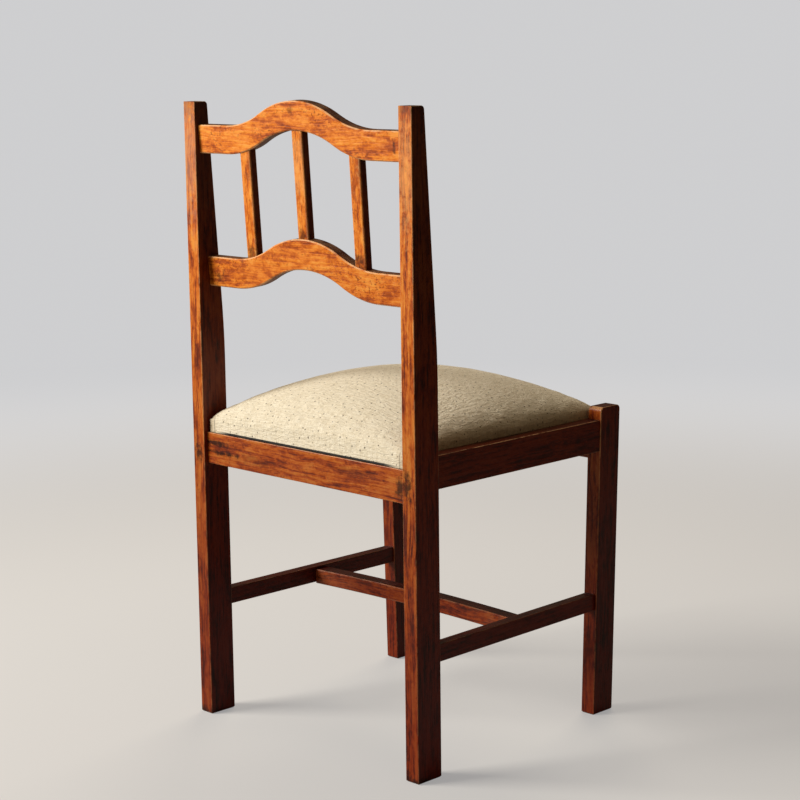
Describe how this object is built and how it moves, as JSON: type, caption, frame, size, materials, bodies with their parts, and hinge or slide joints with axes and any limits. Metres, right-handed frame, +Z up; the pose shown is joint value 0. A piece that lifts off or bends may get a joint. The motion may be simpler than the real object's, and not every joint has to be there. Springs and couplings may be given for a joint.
{
  "type": "dining chair",
  "caption": "Wooden dining chair with a raked serpentine back, upright spindles, stretchers and a domed drop-in upholstered seat that lifts out of the frame.",
  "frame": {"origin": "on the floor, under the middle of the chair's overall box", "axes": "+Z up, -Y towards the front of the chair, +X towards the sitter's left"},
  "size_m": [0.426, 0.396, 0.8493],
  "materials": {
    "stained_wood": "worn glossy red-brown stain and varnish",
    "plain_wood": "bare beech",
    "steel": "plain",
    "webbing": "jute webbing",
    "hessian": "open woven hessian",
    "stuffing": "fibre wadding",
    "seat_fabric": "woven, pale cream with small dark specks",
    "dust_cloth": "thin woven lining"
  },
  "bodies": {
    "frame": {"rear_leg_left": "stained_wood", "rear_leg_right": "stained_wood", "front_leg_left": "stained_wood", "front_leg_right": "stained_wood", "front_seat_rail": "stained_wood", "rear_seat_rail": "stained_wood", "left_seat_rail": "stained_wood", "right_seat_rail": "stained_wood", "left_stretcher": "stained_wood", "right_stretcher": "stained_wood", "cross_stretcher": "stained_wood", "crest_rail": "stained_wood", "lower_back_rail": "stained_wood", "back_spindle_left": "stained_wood", "back_spindle_centre": "stained_wood", "back_spindle_right": "stained_wood", "corner_block_front_left": "plain_wood", "corner_block_rear_left": "plain_wood", "corner_block_front_right": "plain_wood", "corner_block_rear_right": "plain_wood", "corner_block_screws": "steel"},
    "drop_in_seat": {"seat_frame_front": "plain_wood", "seat_frame_rear": "plain_wood", "seat_frame_left": "plain_wood", "seat_frame_right": "plain_wood", "webbing_lengthways": "webbing", "webbing_crossways": "webbing", "hessian": "hessian", "stuffing": "stuffing", "seat_cover": "seat_fabric", "dust_cloth": "dust_cloth", "tacks": "steel"}
  },
  "joints": [
    {"name": "seat_lift", "type": "slide", "parent": "frame", "child": "drop_in_seat", "axis": [0, 0, 1], "range_m": [0, 0.11]}
  ]
}
